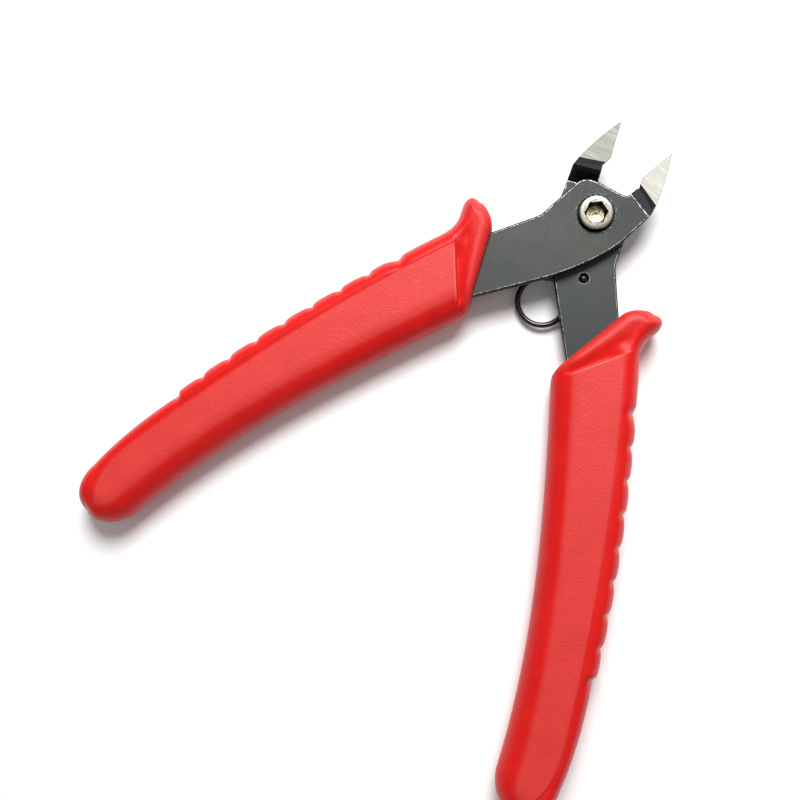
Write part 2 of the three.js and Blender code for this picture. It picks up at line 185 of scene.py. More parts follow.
def plate_steel(name, cool, warm, wear=0.22):
    """Blued steel with specks and scratches, scuffed round the screw, with painted shade: darker
    towards the head, and a black ring round the screw head as its painted contact shadow."""
    n = Nodes(name)
    drift = n.ramp(n.noise(55, 2), 0.35, 0.65)
    base = n.mix(drift, warm, cool)
    blotch = n.ramp(n.noise(420, 4, 0.6), 0.3, 0.7)
    base = n.mix(n.math("MULTIPLY", blotch, 0.3), base, (0.024, 0.027, 0.029, 1))
    offset = n.add("ShaderNodeVectorMath", {0: n.place, 1: PIVOT}, operation="SUBTRACT").outputs[0]
    flat = n.add("ShaderNodeVectorMath", {0: offset, 1: (1, 1, 0)}, operation="MULTIPLY").outputs[0]
    radius = n.add("ShaderNodeVectorMath", {0: flat}, operation="LENGTH").outputs["Value"]
    ahead = n.add("ShaderNodeSeparateXYZ", {0: offset}).outputs["Y"]
    # painted shade: the plate darkens towards the head
    head = n.add("ShaderNodeMapRange", {"Value": ahead, "From Min": -9 * MM, "From Max": 4 * MM},
                 interpolation_type="SMOOTHSTEP").outputs[0]
    base = n.mix(n.math("MULTIPLY", head, 0.6), base, (0.014, 0.016, 0.018, 1))
    near = n.ramp(radius, 4.6 * MM, 3.6 * MM)
    specks = n.ramp(n.noise(2300, 2, 0.6), n.ramp(near, 0, 1, 0.66, 0.52),
                    n.ramp(near, 0, 1, 0.76, 0.66))
    base = n.mix(n.math("MULTIPLY", specks, n.ramp(near, 0, 1, wear, 0.5)), base,
                 (0.30, 0.31, 0.30, 1))
    fine = n.noise(5200, 2)
    scratch = n.ramp(n.noise(1, 2, vector=n.stretched((150, 5200, 300), 0.5)), 0.66, 0.78)
    base = n.mix(n.math("MULTIPLY", scratch, wear * 0.5), base, (0.2, 0.21, 0.2, 1))
    # painted contact shadow: a black, hardly shiny ring on the plate just round the screw head
    ring = n.ramp(radius, 3.65 * MM, 3.5 * MM)
    base = n.mix(ring, base, (0.004, 0.004, 0.004, 1))
    n.bump([(fine, 0.5), (blotch, 0.3), (scratch, -0.4)], 0.01 * MM)
    rough = n.math("ADD", n.ramp(blotch, 0, 1, 0.4, 0.5), n.math("MULTIPLY", scratch, -0.1))
    return n.finish(base_color=base, roughness=rough,
                    metallic=n.ramp(ring, 0, 1, 0.4, 0.0),
                    specular_ior_level=n.ramp(ring, 0, 1, 0.4, 0.1))


# Oxide black for the plate's walls, risers and rolled rims: partly the real oxide on sheared steel,
# partly painted shade, near black and hardly shiny so they show as dark bands.
def oxide_and_painted_shade(name):
    n = Nodes(name)
    patch = n.ramp(n.noise(700, 4, 0.65), 0.35, 0.7)
    base = n.mix(patch, (0.006, 0.007, 0.008, 1), (0.014, 0.015, 0.016, 1))
    n.bump([(n.noise(3800, 3), 1.0)], 0.02 * MM)
    return n.finish(base_color=base, metallic=0.0, specular_ior_level=0.3,
                    roughness=n.ramp(patch, 0, 1, 0.35, 0.55))


# Worn bare steel on the plate's edges and at the bend, made bright as a painted edge highlight.
def worn_edge_and_highlight(name):
    n = Nodes(name)
    wear = n.ramp(n.noise(1300, 4, 0.7), 0.42, 0.58)
    base = n.mix(wear, (0.06, 0.065, 0.066, 1), (0.52, 0.52, 0.49, 1))
    n.bump([(n.noise(4200, 2), 1.0)], 0.02 * MM)
    return n.finish(base_color=base, metallic=0.9, roughness=n.ramp(wear, 0, 1, 0.45, 0.28))


def ground_steel(name, turn):
    """Grinding marks run across the jaw, at right angles to its cutting edge."""
    n = Nodes(name)
    marks = n.noise(1, 3, 0.6, vector=n.stretched((160, 4200, 160), turn))
    broad = n.noise(1, 2, 0.5, vector=n.stretched((60, 1100, 60), turn + 0.06))
    base = n.mix(n.ramp(marks, 0.3, 0.7), (0.52, 0.51, 0.44, 1), (0.90, 0.89, 0.81, 1))
    base = n.mix(n.ramp(broad, 0.35, 0.75, 0, 0.45), base, (0.50, 0.49, 0.45, 1))
    pits = n.ramp(n.noise(1900, 2, 0.7), 0.7, 0.78)
    base = n.mix(n.math("MULTIPLY", pits, 0.6), base, (0.16, 0.15, 0.13, 1))
    n.bump([(marks, 1.0), (broad, 0.5)], 0.03 * MM)
    return n.finish(base_color=base, metallic=0.35, roughness=0.42)


def nickel(name):
    n = Nodes(name)
    tone = n.ramp(n.noise(500, 4, 0.6), 0.35, 0.7)
    base = n.mix(tone, (0.31, 0.29, 0.23, 1), (0.43, 0.42, 0.37, 1))
    scuffs = n.ramp(n.noise(2400, 3, 0.7), 0.56, 0.72)
    base = n.mix(n.math("MULTIPLY", scuffs, 0.25), base, (0.26, 0.22, 0.17, 1))
    n.bump([(scuffs, -0.3), (tone, 0.3)], 0.01 * MM)
    return n.finish(base_color=base, metallic=1.0, roughness=n.ramp(tone, 0, 1, 0.28, 0.2))


# The screw's metal in two painted tones: a shaded copy for the socket's walls and the head's side, a
# lit copy for the socket's floor.
def socket_metal(name, dark, light, rough):
    n = Nodes(name)
    tone = n.ramp(n.noise(1500, 4, 0.6), 0.35, 0.65)
    base = n.mix(tone, dark, light)
    n.bump([(n.noise(2500, 3), 1.0)], 0.03 * MM)
    return n.finish(base_color=base, metallic=1.0, roughness=rough)


def black_wire(name):
    n = Nodes(name)
    tone = n.ramp(n.noise(800, 3), 0.35, 0.7)
    base = n.mix(tone, (0.003, 0.003, 0.003, 1), (0.008, 0.008, 0.009, 1))
    n.bump([(n.noise(3000, 2), 1.0)], 0.005 * MM)
    return n.finish(base_color=base, roughness=n.ramp(tone, 0, 1, 0.14, 0.22))


def red_vinyl(name):
    """Pebbled on the flat panels and smoother elsewhere. The panels' paler coral against the deeper
    red elsewhere is partly painted sheen, and a paler painted highlight runs along the panel's front
    line."""
    n = Nodes(name)
    panel = n.attribute("panel")
    mottle = n.ramp(n.noise(170, 4, 0.6), 0.3, 0.7)
    # the panels' paler coral against the deeper red is partly painted sheen
    deep = n.mix(mottle, (0.54, 0.006, 0.005, 1), (0.61, 0.010, 0.008, 1))
    coral = n.mix(mottle, (0.56, 0.018, 0.014, 1), (0.62, 0.024, 0.018, 1))
    base = n.mix(panel, deep, coral)
    # painted highlight: a paler line along the panel's front line
    base = n.mix(n.math("MULTIPLY", n.attribute("painted_highlight"), 0.3), base, (0.85, 0.30, 0.25, 1))
    grain = n.cells(3300)
    pebble = n.noise(4200, 2, 0.55)
    grease = n.ramp(n.noise(420, 5, 0.65), 0.56, 0.72)
    base = n.mix(n.math("MULTIPLY", grease, 0.25), base, (0.70, 0.03, 0.024, 1))
    heights = n.math("ADD", n.math("MULTIPLY", grain, 0.5), n.math("MULTIPLY", pebble, 0.6))
    share = n.math("ADD", n.math("MULTIPLY", panel, 0.75), 0.25)
    heights = n.math("MULTIPLY", n.math("SUBTRACT", heights, 0.45), share)
    n.bump([(heights, 1.0), (n.noise(520, 3), 0.4)], 0.08 * MM)
    rough = n.math("ADD", n.ramp(panel, 0, 1, 0.36, 0.6), n.math("MULTIPLY", grease, -0.08))
    return n.finish(base_color=base, roughness=rough,
                    specular_ior_level=n.ramp(panel, 0, 1, 0.22, 0.55),
                    subsurface_weight=0.06, subsurface_radius=(2 * MM, 0.4 * MM, 0.3 * MM),
                    subsurface_scale=0.5)


PLATE_UPPER = plate_steel("plate_upper", (0.040, 0.045, 0.046, 1), (0.048, 0.050, 0.042, 1))
PLATE_LOWER = plate_steel("plate_lower", (0.040, 0.046, 0.048, 1), (0.044, 0.048, 0.044, 1))
# painted light: the sloping neck and riser faces get a lighter copy of the plate steel
NECK_LIT = plate_steel("neck_steel_lit", (0.092, 0.108, 0.116, 1), (0.112, 0.124, 0.128, 1), 0.7)
OXIDE_AND_SHADE = oxide_and_painted_shade("oxide_and_painted_shade")
WORN_AND_HIGHLIGHT = worn_edge_and_highlight("worn_edge_and_highlight")
GROUND_UPPER = ground_steel("ground_upper", HALF_OPEN)
GROUND_LOWER = ground_steel("ground_lower", -HALF_OPEN)
NICKEL = nickel("nickel")
SOCKET_WALL_SHADE = socket_metal("socket_wall_shade", (0.015, 0.010, 0.007, 1), (0.09, 0.065, 0.045, 1), 0.4)
SOCKET_FLOOR_LIT = socket_metal("socket_floor_lit", (0.22, 0.18, 0.10, 1), (0.62, 0.56, 0.38, 1), 0.3)
WIRE = black_wire("black_wire")
VINYL = red_vinyl("red_vinyl")


# ---- Blades ----

SAME_PLACE = 0.001 * MM
COPLANAR = math.radians(0.6)


def node_copy(node):
    """The CAD node's mesh with its flat faces whole again, as a bmesh."""
    shape = bmesh.new()
    shape.from_mesh(frame["nodes"][node].data)
    bmesh.ops.remove_doubles(shape, verts=shape.verts, dist=SAME_PLACE)
    bmesh.ops.dissolve_limit(shape, angle_limit=COPLANAR, verts=shape.verts, edges=shape.edges)
    return shape


def outline(shape, faces, width):
    """Sets the borders of some faces in, and returns the strip that this leaves."""
    return bmesh.ops.inset_region(
        shape, faces=faces, thickness=width * MM, use_even_offset=False, use_boundary=True,
    )["faces"]


FLAT, EDGE, BLACK, GROUND, DULL = range(5)
SHOULDER = Vector((0, 10.25, 1.1))  # where the ground part of the jaw starts
RIM_WIDTH = 0.24
RIM_DROP = 0.2
WORN_HIGHLIGHT_LINE = 0.08
GROUND_OUTLINE = 0.07
HOOK_REACH = 1.3
# least cosine between a face's normal and a direction that it follows
PARALLEL = 0.999
LEVEL = 0.99999
SLOPING = 0.85


def mark_faces(shape, arm_turn, side):
    """Gives each face its material. The jaw's two ground faces, the bevel on top and
    the flush side below, start at the shoulder, where the shape is cut through."""
    tilt = Matrix.Rotation(JAW_TILT, 3, "X")
    turn = Matrix.Rotation(arm_turn, 3, "Z")
    bevel_lean = math.atan((PLATE_THICKNESS - EDGE_LAND) / JAW_WIDTH)
    bevel_normal = turn @ tilt @ Matrix.Rotation(-side * bevel_lean, 3, "Y") @ Vector((0, 0, 1))
    flush_normal = turn @ tilt @ Vector((0, 0, -1))
    along = turn @ tilt @ Vector((0, 1, 0))
    shoulder = PIVOT + MM * (turn @ SHOULDER)
    bmesh.ops.bisect_plane(
        shape, geom=shape.verts[:] + shape.edges[:] + shape.faces[:],
        plane_co=shoulder, plane_no=along,
    )
    for face in shape.faces:
        ahead = (face.calc_center_median() - shoulder).dot(along) > 0
        on_bevel = face.normal.dot(bevel_normal) > PARALLEL
        on_flush_side = face.normal.dot(flush_normal) > PARALLEL
        if ahead and (on_bevel or on_flush_side):
            face.material_index = GROUND
        elif abs(face.normal.z) > LEVEL:
            face.material_index = FLAT
        # faces given BLACK get the oxide black, which is partly painted shade
        elif on_bevel:
            face.material_index = BLACK if side > 0 else DULL
        elif abs(face.normal.z) > SLOPING:
            face.material_index = DULL
        else:
            face.material_index = BLACK


def at_hole(point, hole):
    return hole is not None and (point - hole).xy.length < HOOK_REACH * MM


def roll_rim(shape, up, hole):
    """Rolls the borders of the plate's face on one side over, in black that is partly painted shade,
    with a thin line inside of worn steel that is partly a painted edge highlight. The bend stays
    level, and so does a hole given here."""
    plate = [face for face in shape.faces
             if face.material_index == FLAT and face.normal.z * up > 0]
    rim = outline(shape, plate, RIM_WIDTH)
    inner = {vert for face in plate for vert in face.verts}
    rolled = set()
    for vert in {vert for face in rim for vert in face.verts} - inner:
        kinds = {face.material_index for face in vert.link_faces}
        if DULL not in kinds and not at_hole(vert.co, hole):
            rolled.add(vert)
    for vert in rolled:
        vert.co.z -= up * RIM_DROP * MM
    # rolled rim faces are black, partly painted shade; the unrolled ones get the worn edge, partly
    # painted highlight
    for face in rim:
        level = FLAT if at_hole(face.calc_center_median(), hole) else EDGE
        face.material_index = BLACK if rolled & set(face.verts) else level
    beside_rim = {vert for face in rim if face.material_index == BLACK for vert in face.verts}
    # the thin line inside the black rim is worn steel and painted edge highlight
    for face in outline(shape, plate, WORN_HIGHLIGHT_LINE):
        if beside_rim & set(face.verts):
            face.material_index = EDGE


def blade(node, arm_turn, side, plate_material, ground_material, hole=None):
    shape = node_copy(node)
    mark_faces(shape, arm_turn, side)
    ground = [face for face in shape.faces if face.material_index == GROUND and face.normal.z > 0]
    # painted shade: a black line round the ground faces, where the shoulder's shadow falls
    for face in outline(shape, ground, GROUND_OUTLINE):
        face.material_index = BLACK
    for up in (1, -1):
        roll_rim(shape, up, hole)
    mesh = bpy.data.meshes.new(node + "_shape")
    shape.to_mesh(mesh)
    shape.free()
    return new_object(node + "_steel", mesh,
                      [plate_material, WORN_AND_HIGHLIGHT, OXIDE_AND_SHADE, ground_material, NECK_LIT])


# the border of the upper blade's hole for the spring isn't rolled, the lower one's is
upper_blade = blade("upper_blade", -HALF_OPEN, 1, PLATE_UPPER, GROUND_UPPER,
                    UPPER @ Vector((*UPPER_HOOK, 0)))
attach(upper_blade, "upper_arm")
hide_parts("upper_blade")
lower_blade = blade("lower_blade", HALF_OPEN, -1, PLATE_LOWER, GROUND_LOWER)
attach(lower_blade, "lower_arm")
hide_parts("lower_blade")


# ---- Pivot ----

SIDES = 96
SOCKET_TURN = math.radians(38)


def ring_points(radius, z):
    return [
        (radius * math.cos(2 * math.pi * k / SIDES),
         radius * math.sin(2 * math.pi * k / SIDES), z)
        for k in range(SIDES)
    ]


def loft(rings):
    """Points and faces of a closed skin over rings that all have as many points."""
    sides = len(rings[0])
    points = [p for ring in rings for p in ring]
    faces = []
    for r in range(len(rings) - 1):
        for k in range(sides):
            j = (k + 1) % sides
            a, b = r * sides, (r + 1) * sides
            faces.append((a + k, a + j, b + j, b + k))
    last = (len(rings) - 1) * sides
    faces.append(tuple(range(sides))[::-1])
    faces.append(tuple(range(last, last + sides)))
    return points, faces


def hexagon_ring(across_flats, z):
    """A hexagon drawn with the same number of points as the circles round it."""
    ring = []
    for k in range(SIDES):
        angle = SOCKET_TURN + 2 * math.pi * k / SIDES
        within = (angle - SOCKET_TURN) % (math.pi / 3) - math.pi / 6
        radius = across_flats / 2 / math.cos(within)
        ring.append((radius * math.cos(angle), radius * math.sin(angle), z))
    return ring


HEAD_HEIGHT = 1.25
HEAD_TOP = BACK_Z + FACE_GAP + HEAD_HEIGHT
SCREW_END = -BACK_Z - WASHER_THICKNESS - NUT_THICKNESS - 2 * FACE_GAP
SHANK_RADIUS = 2.5
HEAD_RADIUS = 3.2
HEAD_CHAMFER = 0.3
HEAD_FLAT_RADIUS = 2.4
# top of the head's side, which is painted in shade
SHADED_SIDE_TOP = HEAD_TOP - 0.25
THREAD_PITCH = 0.45
THREAD_DEPTH = 0.22
THREAD_TOP = -BACK_Z - 0.2
END_CHAMFER = 0.3
DIMPLE_RADIUS = 0.9
DIMPLE_DEPTH = 0.25
SOCKET_MOUTH = 3.9
SOCKET_FLATS = 3.6
SOCKET_FOOT = 3.56
SOCKET_FLARE = 0.18
SOCKET_DEPTH = 2.0
# radius and depth below the socket: the drilled floor steps down in rings to a cone
DRILLED_FLOOR = ((1.66, 0.02), (1.62, 0.16), (1.3, 0.18), (1.26, 0.32), (0.95, 0.34),
                 (0.9, 0.48), (0.55, 0.5), (0.5, 0.66), (0.12, 0.72))
NICKEL_SLOT, WALL_SLOT, FLOOR_SLOT = range(3)


def pivot_screw():
    rings = [ring_points(DIMPLE_RADIUS, SCREW_END + DIMPLE_DEPTH),
             ring_points(DIMPLE_RADIUS + 0.15, SCREW_END),
             ring_points(SHANK_RADIUS - END_CHAMFER, SCREW_END)]
    z = SCREW_END + END_CHAMFER
    while z < -BACK_Z - WASHER_THICKNESS:
        rings.append(ring_points(SHANK_RADIUS, z))
        rings.append(ring_points(SHANK_RADIUS - THREAD_DEPTH, z + THREAD_PITCH / 2))
        z += THREAD_PITCH
    rings += [ring_points(SHANK_RADIUS, THREAD_TOP),
              ring_points(SHANK_RADIUS, BACK_Z + FACE_GAP),
              ring_points(HEAD_RADIUS, BACK_Z + FACE_GAP)]
    for step in range(7):
        angle = math.pi / 2 * step / 6
        radius = HEAD_RADIUS - HEAD_CHAMFER + HEAD_CHAMFER * math.cos(angle)
        height = HEAD_TOP - HEAD_CHAMFER + HEAD_CHAMFER * math.sin(angle)
        rings.append(ring_points(radius, height))
    rings.append(ring_points(HEAD_FLAT_RADIUS, HEAD_TOP))
    walls_from = len(rings) * SIDES
    rings += [hexagon_ring(SOCKET_MOUTH, HEAD_TOP),
              hexagon_ring(SOCKET_FLATS, HEAD_TOP - SOCKET_FLARE),
              hexagon_ring(SOCKET_FOOT, HEAD_TOP - SOCKET_DEPTH)]
    floor_from = len(rings) * SIDES
    for radius, depth in DRILLED_FLOOR:
        rings.append(ring_points(radius, HEAD_TOP - SOCKET_DEPTH - depth))
    points, faces = loft(rings)
    mesh = mesh_from("pivot_screw_shape", points, faces, TOOL)
    piece = new_object("pivot_screw_socket_head", mesh, [NICKEL, SOCKET_WALL_SHADE, SOCKET_FLOOR_LIT])
    for polygon in mesh.polygons:
        lowest = min(polygon.vertices)
        height = (polygon.center.z - PIVOT.z) / MM
        if lowest >= floor_from:
            polygon.material_index = FLOOR_SLOT
        # the socket's walls and the head's side take the shaded copy, as painted shade
        elif lowest >= walls_from or BACK_Z < height < SHADED_SIDE_TOP:
            polygon.material_index = WALL_SLOT
        else:
            polygon.material_index = NICKEL_SLOT
    return piece


def sharpen(piece, angle, by_material=False):
    """Smooth shading that keeps edges above an angle in degrees sharp, and on request
    also those between two materials."""
    shape = bmesh.new()
    shape.from_mesh(piece.data)
    bmesh.ops.recalc_face_normals(shape, faces=shape.faces)
    for edge in shape.edges:
        edge.smooth = edge.calc_face_angle(0) < math.radians(angle)
        kinds = {face.material_index for face in edge.link_faces}
        if by_material and len(kinds) > 1:
            edge.smooth = False
    for face in shape.faces:
        face.smooth = True
    shape.to_mesh(piece.data)
    shape.free()
    return piece


screw = sharpen(pivot_screw(), 35)
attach(screw, "lower_arm")
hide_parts("pivot_screw")

SOFTENED_WIDTH = 0.07
SHARP_ANGLE = math.radians(24)

for node in ("pivot_washer", "pivot_nut"):
    shape = node_copy(node)
    sharp = [edge for edge in shape.edges
             if len(edge.link_faces) == 2 and edge.calc_face_angle(0) > SHARP_ANGLE]
    bmesh.ops.bevel(
        shape, geom=sharp, offset=SOFTENED_WIDTH * MM, segments=3,
        profile=0.5, affect="EDGES", clamp_overlap=True, material=0,
    )
    mesh = bpy.data.meshes.new(node + "_shape")
    shape.to_mesh(mesh)
    shape.free()
    piece = sharpen(new_object(node + "_plated", mesh, [NICKEL]), 30)
    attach(piece, "lower_arm")
    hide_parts(node)
for piece in (upper_blade, lower_blade):
    sharpen(piece, 50, by_material=True)


# ---- Sleeves ----

def bezier(points, count):
    """A Bezier curve, as a row of points."""
    t = np.linspace(0, 1, count)[:, None]
    pts = [np.array(p, float) for p in points]
    while len(pts) > 1:
        pts = [a * (1 - t) + b * t for a, b in zip(pts[:-1], pts[1:])]
    return pts[0]


def measured(path):
    """A path with its running length."""
    steps = np.linalg.norm(np.diff(path, axis=0), axis=1)
    return path, np.concatenate([[0], np.cumsum(steps)])


def at_length(path, lengths, wanted):
    """The places that lie at some lengths along a path."""
    return np.stack([np.interp(wanted, lengths, path[:, k]) for k in (0, 1)], 1)


END_Y = -105.7  # where the sleeve's end starts to round off
END_LENGTH = 7.6
SCALLOPS = 8
SCALLOP_DEPTH = 0.7
POINTS_PER_SCALLOP = 56
SEARCH_STEP = 0.04
ROUND_INNER = 6.0  # width over which the inner side rounds off
ROUND_OUTER = 3.0
PANEL_FRONT = (np.array([-2.8, -30.7]), np.array([-11.9, -24.2]))

inner_side = bezier([(0.05, -31), (-5.9, -57), (-10.6, -81), (-9.85, END_Y)], 600)
front_line = np.array([(0.05, -31.0), (-9.2, -18.0)])
front_lobe = bezier([(-9.2, -18), (-10.3, -15.9), (-12.4, -15.3), (-15.6, -15.3)], 80)
front_edge = np.concatenate([at_length(front_line, np.array([0, 1]), np.linspace(0, 1, 120)),
                             front_lobe[1:]])
nose = bezier([(-15.6, -15.3), (-17.3, -15.25), (-18.1, -16.6), (-17.3, -18.2)], 60)
guard_back = bezier([(-17.3, -18.2), (-16.2, -20.1), (-14.6, -21.2), (-15.5, -25.2)], 80)
swell = bezier([(-15.5, -25.2), (-16.6, -30.2), (-17.05, -32.9)], 60)
notch_line = bezier([(-16.8, -34.5), (-19.95, -51.2), (-22.15, -67.9), (-22.7, -84.6)], 800)
plain_back = bezier([(-22.7, -84.6), (-23.3, -90), (-23.5, -99), (-22.4, END_Y)], 120)


def scalloped_line(filled=False):
    """Between two notches the side bulges out, fuller towards the rear notch. Filled,
    it runs as it would without the notches, level with the tops of the bulges."""
    path, lengths = measured(notch_line)
    share = np.linspace(0, 1, POINTS_PER_SCALLOP * SCALLOPS + 1)
    points = at_length(path, lengths, share * lengths[-1])
    tangent = np.gradient(points, axis=0)
    tangent /= np.linalg.norm(tangent, axis=1)[:, None]
    outward = np.stack([tangent[:, 1], -tangent[:, 0]], 1)
    t = share * SCALLOPS % 1.0
    bulge = SCALLOP_DEPTH * np.sin(np.pi * t ** 1.25).clip(0) ** 0.75
    if filled:
        ends = smoothstep(0, 0.06, share) * smoothstep(0, 0.02, 1 - share)
        bulge = np.maximum(bulge, SCALLOP_DEPTH * ends)
    return points + outward * bulge[:, None]


def tail_arc(count):
    """The outer half of the sleeve's round end."""
    middle = (inner_side[-1] + plain_back[-1]) / 2
    half_width = inner_side[-1][0] - middle[0]
    angle = np.linspace(0, math.pi / 2, count)
    return np.stack([middle[0] - half_width * np.cos(angle),
                     middle[1] - END_LENGTH * np.sin(angle)], 1)


def nearest(path, points):
    """Distances of the points from a path, positive on the left of its direction."""
    path, lengths = measured(np.asarray(path, float))
    count = int(lengths[-1] / SEARCH_STEP)
    dense = at_length(path, lengths, np.linspace(0, lengths[-1], count))
    along = np.gradient(dense, axis=0)
    tree = KDTree(count)
    for index, point in enumerate(dense):
        tree.insert((point[0], point[1], 0), index)
    tree.balance()
    distances = np.empty(len(points))
    for index, point in enumerate(points):
        _, found, distance = tree.find((point[0], point[1], 0))
        offset = point - dense[found]
        left = along[found][0] * offset[1] - along[found][1] * offset[0]
        distances[index] = math.copysign(distance, left)
    return distances


def signed_side(points, line):
    """Distance in front of (+) or behind (-) a line."""
    a, b = line
    along = (b - a) / np.linalg.norm(b - a)
    normal = np.array([along[1], -along[0]])
    return (points - a) @ normal


def quarter(distance, radius):
    """Height of a quarter circle, from 0 at its edge to 1 from its radius on."""
    t = np.clip(distance / radius, 0, 1)
    return np.sqrt(1 - (1 - t) ** 2)


# The crease where the panel meets the smooth band round the outside: along the
# grip, then round its end.
crease_line = np.concatenate([
    bezier([(-11.9, -24.2), (-16.2, -43), (-19.6, -70), (-20.35, -96)], 500),
    bezier([(-20.35, -96), (-20.6, -104), (-18.8, -109.2), (-14.0, -110.3)], 120)[1:],
])


DEEPEST_CREASE = 0.42  # as a share of the section


def crease_depths(inner, outer):
    """How far in from the outer side each section meets the crease."""
    shares = np.linspace(0, 0.5, 26)
    probes = outer[:, None] + (inner - outer)[:, None] * shares[:, None]
    inside = nearest(crease_line, probes.reshape(-1, 2)).reshape(len(outer), -1)
    depths = np.empty(len(outer))
    for row, values in enumerate(inside):
        width = np.linalg.norm(outer[row] - inner[row])
        past = int(np.argmax(values > 0))
        if past == 0:
            depths[row] = width * DEEPEST_CREASE
            continue
        before, after = values[past - 1], values[past]
        share = shares[past - 1] + (shares[1] - shares[0]) * before / (before - after)
        depths[row] = min(width * share, width * DEEPEST_CREASE)
    return depths


STEP_REACH = 0.9  # on each side of the crease, with stations close together


def stations(width, crease):
    """Distances across a section from the inner side, close together where the
    surface turns or steps."""
    inner_radius = min(ROUND_INNER, width * 0.48)
    turn_in = inner_radius * (1 - np.cos(np.linspace(0, math.pi / 2, 19)))
    edge = width - crease
    reach = min(STEP_REACH, width * 0.08)
    middle = np.linspace(inner_radius, max(edge - reach, inner_radius + 1e-3), 25)[1:]
    step = edge + reach * np.linspace(-1, 1, 25)[1:]
    band = np.sin(np.linspace(0, math.pi / 2, 15)[1:])
    tail = edge + reach + (width - edge - reach) * band
    return np.concatenate([turn_in, middle, step, tail])


GUARD_LENGTH = 16  # along the outer side, with the closest rows
TAIL_LENGTH = 22  # along the outer side, with the widest rows
BOW_LENGTH = 14.4  # behind the front edge, where the rows have become straight
INNER_LAG = 1.25  # keeps the front rows parallel to the front edge
END_STEPS = 40
CORNER_PULL = 0.6
CORNER_REACH = 3.0
CORNER_INWARD = np.array([-0.62, -0.78])


def sleeve_sections():
    """Rows of plan points, from the front edge to the end."""
    outer_path, outer_lengths = measured(np.concatenate(
        [nose, guard_back[1:], swell[1:], scalloped_line(), plain_back[1:]]))
    inner_path, inner_lengths = measured(inner_side)
    front_path, front_lengths = measured(front_edge)
    total = outer_lengths[-1]
    wanted = np.concatenate([np.arange(0, GUARD_LENGTH, 0.13),
                             np.arange(GUARD_LENGTH, total - TAIL_LENGTH, 0.2),
                             np.arange(total - TAIL_LENGTH, total, 0.4), [total]])
    rows = []
    for length in wanted:
        inner_length = (length / total) ** INNER_LAG * inner_lengths[-1]
        outer = at_length(outer_path, outer_lengths, np.array([length]))[0]
        inner = at_length(inner_path, inner_lengths, np.array([inner_length]))[0]
        behind = (length + inner_length) / 2
        bow = max(0.0, 1 - behind / BOW_LENGTH)
        rows.append((inner, outer, bow))
    middle = (inner_side[-1] + plain_back[-1]) / 2
    half_width = inner_side[-1][0] - middle[0]
    for step in range(1, END_STEPS + 1):
        # the last row stops just short of the tip
        angle = math.pi / 2 * (step / (END_STEPS + 0.3))
        reach = half_width * math.cos(angle)
        y = END_Y - END_LENGTH * math.sin(angle)
        rows.append((np.array([middle[0] + reach, y]), np.array([middle[0] - reach, y]), 0.0))
    chord = front_edge[-1] - front_edge[0]
    creases = crease_depths(np.array([row[0] for row in rows]), np.array([row[1] for row in rows]))
    grid = []
    for (inner, outer, bow), crease in zip(rows, creases):
        width = np.linalg.norm(outer - inner)
        t = stations(width, crease) / width
        line = inner + (outer - inner) * t[:, None]
        if bow > 0:
            arch = at_length(front_path, front_lengths, t * front_lengths[-1])
            line += bow * (arch - front_edge[0] - chord * t[:, None])
        grid.append(line)
    plan = np.array(grid)
    # the corner between the front edge and the inner side is rounded
    reach = np.linalg.norm(plan - inner_side[0], axis=2)
    pull = CORNER_PULL * np.clip(1 - reach / CORNER_REACH, 0, 1) ** 2
    return plan + pull[:, :, None] * CORNER_INWARD


NOTCH_WIDTH = 0.5
CUSP_WIDTH = 0.75
CUSP_DEPTH = 0.30
LIP_FRONT = 0.6  # height of the front face, as a share of the sleeve's
LIP_CREST = 2.4  # lip's highest line, behind the front edge
LIP_TONE = 0.7
HOLLOW_DEPTH = 0.19
HIGHLIGHT_WIDTH = 0.16
DISH_PLACES = [24, 50, 62, 85, 100]  # behind the pivot
DISH_DEPTHS = [0.0, 0.03, 0.1, 0.26, 0.34]
DISH_WIDTH = 1.1
GROOVE_DEPTH = 0.05
GROOVE_WIDTH = 0.1


def rounded_sides(flat, to_inner, to_edge, to_crests):
    """Share of the height left by the sides: the inner one rolls off widely, the
    outer one is round, with its notches and the pits at their ends cut in."""
    body = quarter(to_inner, ROUND_INNER) * quarter(to_crests, ROUND_OUTER)
    notch = 0.45 + 0.55 * quarter(to_edge, NOTCH_WIDTH)
    body *= np.where(to_edge < NOTCH_WIDTH, notch * quarter(to_edge, 0.15), 1)
    path, lengths = measured(notch_line)
    cusps = at_length(path, lengths, np.linspace(0, 1, SCALLOPS + 1) * lengths[-1])
    to_cusp = np.min([np.linalg.norm(flat - cusp, axis=1) for cusp in cusps], axis=0)
    return body * (1 - CUSP_DEPTH * np.exp(-(to_cusp / CUSP_WIDTH) ** 2))


